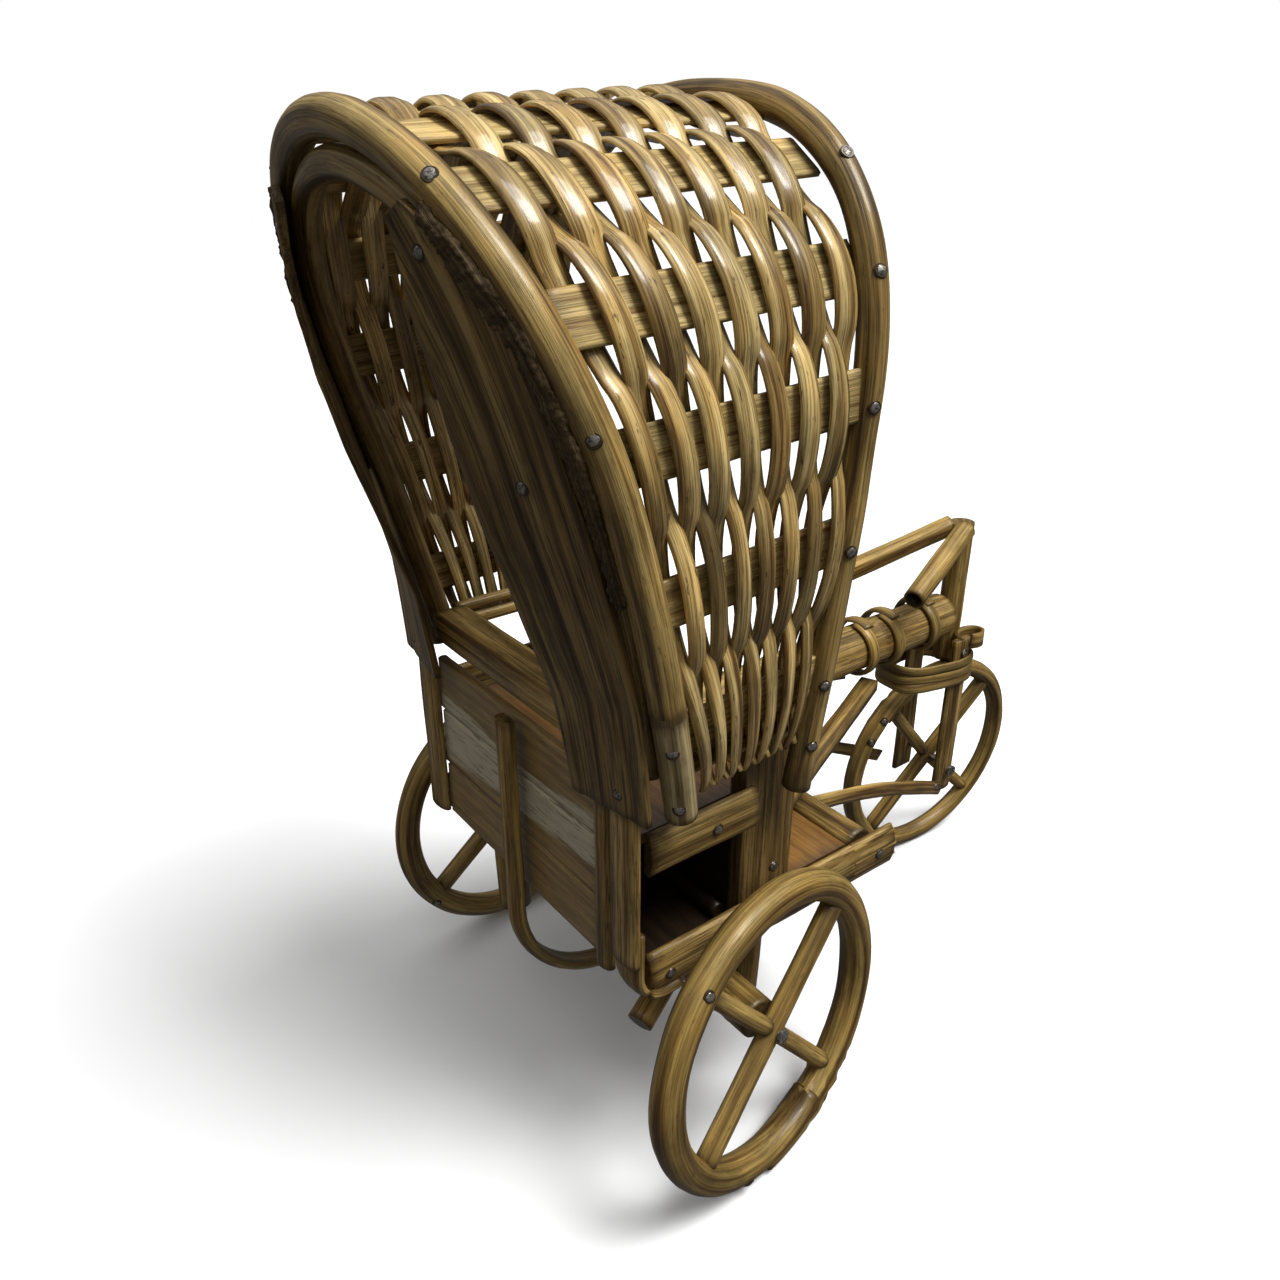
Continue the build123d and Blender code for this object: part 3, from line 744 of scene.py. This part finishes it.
# each back slat by height: its outer edge, its inner edge, and how far that one stands behind the outer
SLAT_EDGES = (
    (101.2, 50.6, 29.0, 3.0), (117.0, 50.4, 28.5, 4.2), (135.0, 49.5, 28.2, 6.0), (160.0, 48.2, 27.6, 7.6),
    (176.0, 47.0, 27.0, 7.0), (190.0, 42.7, 26.0, 5.2), (201.0, 34.5, 24.5, 3.0), (209.0, 26.5, 22.0, 0.8),
)


SLAT_BEHIND = 5.1            # how far a slat's outer edge stands behind the rear arch's middle
SLAT_FLARE = 3.4             # how much further back it stands once it is FLARE_RUN below FLARE_TOP
FLARE_TOP, FLARE_RUN = 125, 25
SLAT_STEPS = 54
PITH_FOOT, PITH_TOP = 148, 209


def slat_place(side, z, share):
    """A point on a back slat from its outer edge to its inner one, the way it faces there, and its width."""
    low, high = next((a, b) for a, b in zip(SLAT_EDGES, SLAT_EDGES[1:]) if z <= b[0] + 0.01)
    part = (z - low[0]) / (high[0] - low[0])
    outer, inner, back = (a + (b - a) * part for a, b in zip(low[1:], high[1:]))
    x = rear_lean(z) - SLAT_BEHIND - SLAT_FLARE * max(0.0, (FLARE_TOP - z) / FLARE_RUN)
    point = Vector((x - back * share, side * (outer + (inner - outer) * share), z))
    return point, Vector((inner - outer, side * back, 0)).normalized(), math.hypot(back, outer - inner)


def slat_strip(side):
    """A broad ribbed slat, its outer edge against the rear arch and its top pared to the arch's curve."""
    bottom, top = SLAT_EDGES[0][0], SLAT_EDGES[-1][0]
    places = [slat_place(side, bottom + (top - bottom) * i / SLAT_STEPS, 0.5) for i in range(SLAT_STEPS + 1)]

    def face(share, point, along):
        return places[round(share * SLAT_STEPS)][1]

    def wide(share):
        return places[round(share * SLAT_STEPS)][2]

    return strip([p[0] for p in places], wide, 1.7, face, "flat", 48, 2.0, seed=100 + side,
                 stain=ends_dark(0.7, 0.02), wobble=0.05, cut=0.94, ribs=0.34)


def pith_strip(side):
    """The torn, fuzzy edge where the slat's skin was stripped, between slat and arch."""
    points = []
    for i in range(61):
        z = PITH_FOOT + (PITH_TOP - PITH_FOOT) * i / 60
        edge = slat_place(side, z, 0.0)[0]
        cane = leg_point(REAR_ARCH, side, z)
        points.append(edge.lerp(cane + Vector((-2.6, 0, 0)), 0.45))

    def wide(share):
        return 3.4 + 2.0 * math.sin(share * math.pi)

    def fuzz(point):
        return 0.5

    made = strip(points, wide, 2.2, BACKWARD, "round", 24, 0.45, 0, 110 + side, 0.1, 0.5, 0.5)
    return roughen(roughen(made, fuzz, 0.4), fuzz, 1.7)


def make_back_slats():
    for side, tag in ((-1, "right"), (1, "left")):
        node = "back_slat_" + tag
        piece("flat_slat_" + tag, [slat_strip(side)], SLAT_FINISH, stands_for=[node])
        piece("torn_pith_" + tag, [pith_strip(side)], PITH_FINISH)
    places = []
    for side in (-1, 1):
        for z, share in ((203, 0.45), (168, 0.45), (106, 0.35)):
            point, outward = slat_place(side, z, share)[:2]
            places.append((point + outward * 0.7, outward))
    nail_heads("slat_nails", places)


# ---------------------------------------------------------------- passenger box


def straight(node, way, section="flat", seed=0, **options):
    """A straight strip that fills a CAD node's box along one way; its broad face looks outwards."""
    low, high = node_box(node)
    middle, size = (low + high) / 2, high - low
    run = "xyz".index(way)
    rest = [i for i in range(3) if i != run]
    thin = min(rest, key=lambda i: size[i])
    broad = [i for i in rest if i != thin][0]
    start, end = middle.copy(), middle.copy()
    start[run], end[run] = low[run], high[run]
    up = Vector((0, 0, 0))
    up[thin] = 1 if thin == 2 else math.copysign(1, middle[thin])
    options.setdefault("tone", tone_of(seed, 0.12))
    return strip([start, end], size[broad], size[thin], up, section, 22, 2.0, seed=seed, **options)


def make_rails():
    for side, tag in ((-1, "right"), (1, "left")):
        for number, level in enumerate(("bottom", "middle")):
            node = level + "_rail_" + tag
            seed = 120 + number + side
            rail = straight(node, "x", "half", seed, stain=ends_dark(0.7, 0.05), cut=0.8, wobble=0.08)
            piece(node + "_bamboo", [rail], BAMBOO_FINISH, stands_for=[node])
        sawn = [Vector((37.5, side * 44, 58)), Vector((52.4, side * 44, 58))]
        rough_end = strip(sawn, 11.3, 4.6, Vector((0, side, 0)), "half", 30, 0.6, tone=0.5, seed=124 + side,
                          wobble=0.1, cut=0.96, ribs=0.5)
        piece("bottom_rail_end_" + tag, [rough_end], BAMBOO_FINISH)
        post = straight("front_post_" + tag, "z", "flat", 126 + side, stain=ends_dark(0.7, 0.04))
        piece("front_slat_" + tag, [post], SLAT_FINISH, stands_for=["front_post_" + tag])


def corner_strip(width, top, low, curl, y, x, tone, seed):
    """A split strip down a rear corner; curl is the radius of the turn forward at its foot, or 0."""
    points = [Vector((x, y, top)), Vector((x, y, low + curl))]
    if curl:
        for i in range(1, 9):
            a = math.radians(90 * i / 8)
            points.append(Vector((x + curl * (1 - math.cos(a)), y, low + curl - curl * math.sin(a))))
        points.append(Vector((x + curl + 4.5, y, low)))

    def face(share, point, along):
        return Vector((along.z, 0, along.x)).normalized() if curl else BACKWARD

    return strip(points, width, 3.2, face, "half", 18, 1.2, tone, seed, ends_dark(0.7, 0.05), cut=0.85)


def make_corners():
    right = [
        corner_strip(9.4, 72.0, 53.0, 7.0, -42.2, -28.0, 0.0, 131),
        corner_strip(9.0, 101.5, 64.0, 0, -42.6, -29.4, 0.16, 132),
        corner_strip(5.4, 99.5, 56.0, 0, -34.0, -28.4, 0.05, 133),
    ]
    piece("corner_strips_right", right, BAMBOO_FINISH, stands_for=["rear_post_right"])
    left = [corner_strip(8.8, 101.0, 55.5, 0, 43.0, -28.0, 0.0, 134)]
    piece("corner_strip_left", left, BAMBOO_FINISH, stands_for=["rear_post_left"])


BACK_EDGES = (55.5, 71.0, 87.0, 102.0)      # heights where one back board ends and the next begins
BARE_FADE, BARE_MOST = 3.0, 0.62


def across(x, z, right, left):
    """The two ends of a piece that lies across the box."""
    return [Vector((x, right, z)), Vector((x, left, z))]


def wear_bare(board):
    """Mark the slanting band where a back board has lost its skin."""
    bare = board.verts.layers.float.new("bare")
    for vert in board.verts:
        y, z = vert.co.y, vert.co.z
        low, high = 74 - 0.08 * y, 91 + 0.09 * abs(y)
        vert[bare] = max(0.0, min(1.0, (z - low) / BARE_FADE, (high - z) / BARE_FADE)) * BARE_MOST
    return board


def make_back_boards():
    boards = []
    for number, (low, high) in enumerate(zip(BACK_EDGES, BACK_EDGES[1:])):
        ends = across(-26.4, (low + high) / 2, -30.9, 38.0)
        board = strip(ends, high - low - 0.3, 2.2, BACKWARD, "flat", 22, 2.0, seed=140 + number * 3,
                      stain=ends_dark(0.5, 0.04), wobble=0.03, cut=0.97)
        boards.append(wear_bare(board))
    piece("back_plywood", boards, BACK_FINISH, stands_for=["back_boards"])


def make_riser():
    """The board that closes the space under the seat in front, with a batten along its foot."""
    low, high = node_box("seat_riser")
    riser = strip(across(3.6, 71.2, low.y, high.y), high.z - low.z, 2.2, BACKWARD, "flat", 22, 2.0, seed=157,
                  wobble=0.01, cut=0.99)
    batten = strip(across(0.8, 57.9, low.y, high.y), 3.2, 4.6, UPWARD, "round", 14, 2.0, 0.3, 158,
                   ends_dark(), wobble=0.1)
    # The riser and its batten take the near-black board colour: painted shade of the dark space under the
    # seat.
    piece("riser_plywood", [riser, batten], PAINTED_SHADE_BOARD, stands_for=["seat_riser"])


def make_boards():
    make_back_boards()
    # The floor board takes the near-black board colour: painted shade of the dark space inside the box.
    flat_boards = (("seat_board", SEAT_FINISH), ("floor_board", PAINTED_SHADE_BOARD), ("foot_board", SEAT_FINISH))
    for number, (node, finish) in enumerate(flat_boards):
        stain = ends_dark(0.6, 0.04)
        board = straight(node, "y", "flat", 151 + number, wobble=0.01, cut=0.99, stain=stain, tone=0.0)
        piece(node + "_plywood", [board], finish, stands_for=[node])
    make_riser()
    lip = straight("seat_lip", "y", "half", 154, tone=0.45)
    piece("seat_edge_strip", [lip], WEFT_FINISH, stands_for=["seat_lip"])
    rail = straight("top_rail", "y", "flat", 155, stain=ends_dark(0.6, 0.04))
    piece("top_rail_bamboo", [rail], BAMBOO_FINISH, stands_for=["top_rail"])
    bar = strip(across(43.6, 59.8, -41.4, 41.4), 8.2, 7.4, UPWARD, "round", 18, 2.0, 0.1, 156,
                ends_dark(0.95, 0.03))
    piece("foot_bar_bamboo", [bar], BAMBOO_FINISH, stands_for=["foot_bar"])


def make_hoop():
    """The bent half cane down the back and under the axle."""
    radius, middle = 30.6, 51.0
    points = [Vector((-radius, 0, 102.8)), Vector((-radius, 0, middle))]
    for i in range(1, 25):
        a = math.pi * i / 24
        points.append(Vector((-radius * math.cos(a), 0, middle - radius * math.sin(a))))
    points.append(Vector((radius, 0, 59.1)))

    def face(share, point, along):
        return Vector((along.z, 0, -along.x)).normalized()

    hoop = strip(points, 5.5, 4.6, face, "half", 16, 1.5, 0.02, 160, ends_dark(0.6, 0.02))
    piece("hoop_cane", [hoop], GOLDEN_CANE, stands_for=["hoop"])


def make_under():
    """The axle cane and the hangers nailed to it."""
    low, high = node_box("axle")
    middle = (low.z + high.z) / 2
    axle = strip(across(0, middle, low.y, high.y), 9.9, up=UPWARD, seed=170, stain=ends_dark(0.8, 0.05),
                 sides=18)
    piece("axle_cane", [axle], GOLDEN_CANE, stands_for=["axle"])
    hangers = (
        ("hanger_right_front", (9.2, -37.0, 21.0), (9.6, -38.0, 51.4), 8.0),
        ("hanger_left_front", (9.2, 37.0, 21.0), (9.6, 38.0, 51.4), 8.0),
        ("hanger_left_rear", (-11.0, 36.5, 17.5), (-10.2, 39.5, 51.4), 9.2),
        ("hanger_right_rear", (-25.0, -41.5, 42.5), (-10.5, -37.0, 49.5), 6.0),
    )
    for number, (node, start, end, width) in enumerate(hangers):
        cane = strip([Vector(start), Vector(end)], width, up=Vector((0, 1, 0)), seed=172 + number,
                     stain=ends_dark(0.8, 0.08), sides=18)
        piece(node + "_cane", [cane], GOLDEN_CANE, stands_for=[node])


def make_box_nails():
    """Nail heads on the rails, posts and corner strips."""
    behind = ((-28.6, -34.0, 79.0), (-28.9, -42.6, 80.0), (-28.9, -42.6, 58.5))
    aside = ((-20.0, 46.2, 57.5), (46.0, 46.2, 58.5), (-8.0, 46.2, 89.5), (9.0, 46.1, 72.0))
    left_behind = ((-28.9, 43.0, 92.0), (-28.9, 43.0, 66.0))
    places = [(Vector(point), BACKWARD) for point in behind]
    places += [(Vector((x, -y, z)), Vector((0, -1, 0))) for x, y, z in aside]
    places.append((Vector((-31.0, 0, 82.0)), BACKWARD))
    places += [(Vector(point), Vector((0, 1, 0))) for point in aside]
    places += [(Vector(point), BACKWARD) for point in left_behind]
    nail_heads("box_nails", places)


# ---------------------------------------------------------------- front


TUBE_Z = 86.0
TUBE_WIDTH = 13.2
TUBE_KNOTS = (0.72, 0.2)     # where the tube has its knots, as shares of its length
BANDS_X = (84.0, 95.0, 111.0)
BAND_RADIUS, BAND_TURNS = 7.3, 1.08


def band(x, seed):
    """A flat strip of cane wound once round the tube, its ends overlapping."""
    points = []
    for i in range(49):
        a = 2 * math.pi * BAND_TURNS * i / 48 + math.pi / 2
        r = BAND_RADIUS + 0.9 * i / 48
        points.append(Vector((x + 1.2 * i / 48, r * math.cos(a), TUBE_Z + r * math.sin(a))))

    def face(share, point, along):
        return Vector((0, point.y, point.z - TUBE_Z)).normalized()

    stain = ends_dark(0.5, 0.05)
    return strip(points, 4.0, 1.7, face, "half", 12, 0.9, tone_of(seed), seed, stain, wobble=0.08)


def near_knot(share, reach):
    """One at a knot of the tube, falling to nothing at a distance of reach."""
    return max(0.0, 1 - min(abs(share - knot) for knot in TUBE_KNOTS) / reach)


def make_tube():
    def swollen(share):
        return TUBE_WIDTH * (1 + 0.07 * near_knot(share, 0.012))

    def stain(share):
        return 0.6 * near_knot(share, 0.010) + ends_dark(0.5, 0.01)(share)

    ends = [Vector((15, 0, TUBE_Z)), Vector((122, 0, TUBE_Z))]
    tube = strip(ends, swollen, swollen, UPWARD, "round", 28, 1.6, 0.18, 180, stain, wobble=0.08)
    piece("bamboo_tube", [tube], BAMBOO_FINISH, stands_for=["top_tube"])
    bands = [band(x, 182 + i) for i, x in enumerate(BANDS_X)]
    piece("tube_bands", bands, GOLDEN_CANE, stands_for=["tube_rings"])


LASH_X, LASH_REACH = 116.5, 15.2        # the lashing's middle, and how far it reaches before and behind it
LASH_HEIGHTS = (67.6, 70.4, 73.2)
CURL_X, CURL_Y = 127.6, -8.0


def lash_strip(number, height):
    """One turn round the fork's head, drawn in and up towards the tube behind it."""
    points = []
    for i in range(61):
        a = 2 * math.pi * i / 60
        x = LASH_X + LASH_REACH * signed_power(math.cos(a), 0.6)
        y = (10.7 - 0.16 * max(0.0, 120 - x)) * signed_power(math.sin(a), 0.5)
        points.append(Vector((x, y, height + 0.05 * (126 - x) + 0.2 * math.sin(a * 3 + number * 2))))

    def face(share, point, along):
        return along.cross(UPWARD).normalized()

    seed = 190 + number
    return strip(points, 3.2, 1.3, face, "half", 12, 1.0, tone_of(seed, 0.4), seed, stain=0.25, wobble=0.2)


def curl_strip():
    """The curled end of a strip that is left standing at the head of the right fork leg."""
    points = []
    for i in range(31):
        a = math.radians(200 - 330 * i / 30)
        points.append(Vector((CURL_X + 4.6 * math.cos(a), CURL_Y + 3.4 * math.sin(a), 78.6 + 1.6 * i / 30)))

    def around(share, point, along):
        return Vector((point.x - CURL_X, point.y - CURL_Y, 0)).normalized()

    return strip(points, 5.2, 1.0, around, "flat", 12, 0.7, 0.1, 194, ends_dark(0.6, 0.08), wobble=0.1)


def make_lashing():
    turns = [lash_strip(number, height) for number, height in enumerate(LASH_HEIGHTS)]
    piece("fork_lashing", turns + [curl_strip()], GOLDEN_CANE)


HANDLE_ENDS = {"right": (94.0, -11.0, 102.0), "left": (90.0, 17.5, 99.5)}
STAY_BOW = 2.0


def stay_line(side):
    """From under the footboard to the foot of a fork leg, bowed upwards on the way."""
    points = []
    for i in range(21):
        share = i / 20
        p = Vector((49, side * 20, 57.5)).lerp(Vector((117, side * 12.3, 31.0)), share)
        points.append(p + UPWARD * STAY_BOW * math.sin(share * math.pi))
    return points


def make_front():
    for side, tag in ((-1, "right"), (1, "left")):
        leg = straight("fork_leg_" + tag, "z", "half", 200 + side, stain=ends_dark(0.5, 0.04), tone=0.15)
        piece("fork_slat_" + tag, [leg], BAMBOO_FINISH, stands_for=["fork_leg_" + tag])
        ends = [Vector((20, side * 33, 72.5)), Vector((86, side * 5.2, 75.8))]
        strut = strip(ends, 5.0, 3.4, UPWARD, "flat", 16, 2.0, -0.1, 204 + side, ends_dark(0.5, 0.04))
        piece("strut_strip_" + tag, [strut], BAMBOO_FINISH, stands_for=["strut_" + tag])
        stay = strip(stay_line(side), 4.4, 1.7, Vector((0, side, 0.2)), "half", 14, 1.8, 0.12, 208 + side,
                     ends_dark(0.4, 0.03))
        piece("stay_strip_" + tag, [stay], BAMBOO_FINISH, stands_for=["stay_" + tag])
        ends = [Vector((125.6, side * 2.6, 113.4)), Vector(HANDLE_ENDS[tag])]
        handle = strip(ends, 6.1, up=UPWARD, seed=212 + side, tone=0.22, stain=ends_dark(0.5, 0.03), sides=20,
                       hollow=6.0)
        piece("handle_cane_" + tag, [handle], GOLDEN_CANE, stands_for=["handle_" + tag])
    ends = [Vector((127.5, 0, 70)), Vector((127.2, 0, 115))]
    stem = strip(ends, 7.2, up=FORWARD, seed=216, stain=ends_dark(0.5, 0.04), sides=18)
    piece("stem_cane", [stem], GOLDEN_CANE, stands_for=["steering_stem"])
    right = Vector((0, -1, 0))
    nail_heads("fork_nails", [(Vector((123.5, -10.0, 76.0)), right), (Vector((114.0, -13.4, 33.0)), right)])


# ---------------------------------------------------------------- studio


SUN_POWER, SUN_AT, SUN_SPREAD = 2.6, Vector((0.27, -0.36, 1.0)), 34
KEY_POWER, KEY_AT, KEY_SIZE = 2.6, Vector((0.12, -0.36, 0.80)), 0.22
LIT_POINT = Vector((0, 0, 0.1))          # the middle of the object, which both lights face
FLOOR_HALF = 3.0
EYE_AT = Vector((-127.92, -177.26, 218.43))
EYE_DOWN, EYE_TURN = 25.78, 37.22        # degrees below the level, and from the left side round to the front
EYE_LENS, EYE_FILM = 29.38, 36.0


def make_studio():
    floor_mesh = bpy.data.meshes.new("floor")
    bm = bmesh.new()
    bmesh.ops.create_grid(bm, x_segments=1, y_segments=1, size=FLOOR_HALF)
    bm.to_mesh(floor_mesh)
    bm.free()
    floor = bpy.data.objects.new("floor", floor_mesh)
    bpy.context.scene.collection.objects.link(floor)
    material, _, _, surface = new_finish("studio_floor")
    surface.inputs["Base Color"].default_value = (0.9, 0.9, 0.9, 1)
    surface.inputs["Roughness"].default_value = 0.9
    floor_mesh.materials.append(material)
    floor.visible_diffuse = False        # a white floor, but it throws no light up on the object
    floor.visible_glossy = False
    make_world()
    sun = bpy.data.lights.new("sun", "SUN")
    sun.energy = SUN_POWER
    sun.angle = math.radians(SUN_SPREAD)
    aim_light("sun", sun, SUN_AT)
    key = bpy.data.lights.new("key", "AREA")
    key.size = KEY_SIZE
    key.energy = KEY_POWER
    aim_light("key", key, KEY_AT)
    bpy.context.scene.view_settings.view_transform = "Standard"


def aim_light(name, lamp, place):
    """Set a light at a place, turned towards the middle of the object."""
    light = bpy.data.objects.new(name, lamp)
    bpy.context.scene.collection.objects.link(light)
    light.location = place
    light.rotation_euler = (LIT_POINT - place).to_track_quat("-Z", "Y").to_euler()


def make_world():
    """White all round to look at; its light is strong from above and weak from the sides."""
    world = bpy.data.worlds.new("studio")
    world.use_nodes = True
    nodes, links = world.node_tree.nodes, world.node_tree.links
    nodes.clear()
    split = nodes.new("ShaderNodeSeparateXYZ")
    links.new(nodes.new("ShaderNodeTexCoord").outputs["Generated"], split.inputs[0])
    dome = nodes.new("ShaderNodeBackground")
    sky = ramp(nodes, links, split.outputs["Z"], [(0.0, grey(0.13)), (0.40, grey(0.17)), (1.0, grey(1.0))])
    links.new(sky, dome.inputs["Color"])
    white = nodes.new("ShaderNodeBackground")
    white.inputs["Color"].default_value = (1, 1, 1, 1)
    choice = nodes.new("ShaderNodeMixShader")
    links.new(nodes.new("ShaderNodeLightPath").outputs["Is Camera Ray"], choice.inputs[0])
    links.new(dome.outputs[0], choice.inputs[1])
    links.new(white.outputs[0], choice.inputs[2])
    links.new(choice.outputs[0], nodes.new("ShaderNodeOutputWorld").inputs[0])
    bpy.context.scene.world = world


def make_camera():
    """Looks down from behind the right rear corner."""
    eye = bpy.data.cameras.new("view")
    eye.lens = EYE_LENS
    eye.sensor_width = EYE_FILM
    eye.clip_start = 0.01
    camera = bpy.data.objects.new("view", eye)
    bpy.context.scene.collection.objects.link(camera)
    camera.location = TO_FRAME @ EYE_AT
    camera.rotation_euler = (math.radians(90 - EYE_DOWN), 0, math.radians(-EYE_TURN))
    bpy.context.scene.camera = camera


make_camera()
make_studio()
make_wheels()
make_stakes()
make_wefts()
make_arches()
make_hood_nails()
make_hood_rails()
make_back_slats()
make_rails()
make_corners()
make_boards()
make_hoop()
make_under()
make_box_nails()
make_tube()
make_lashing()
make_front()
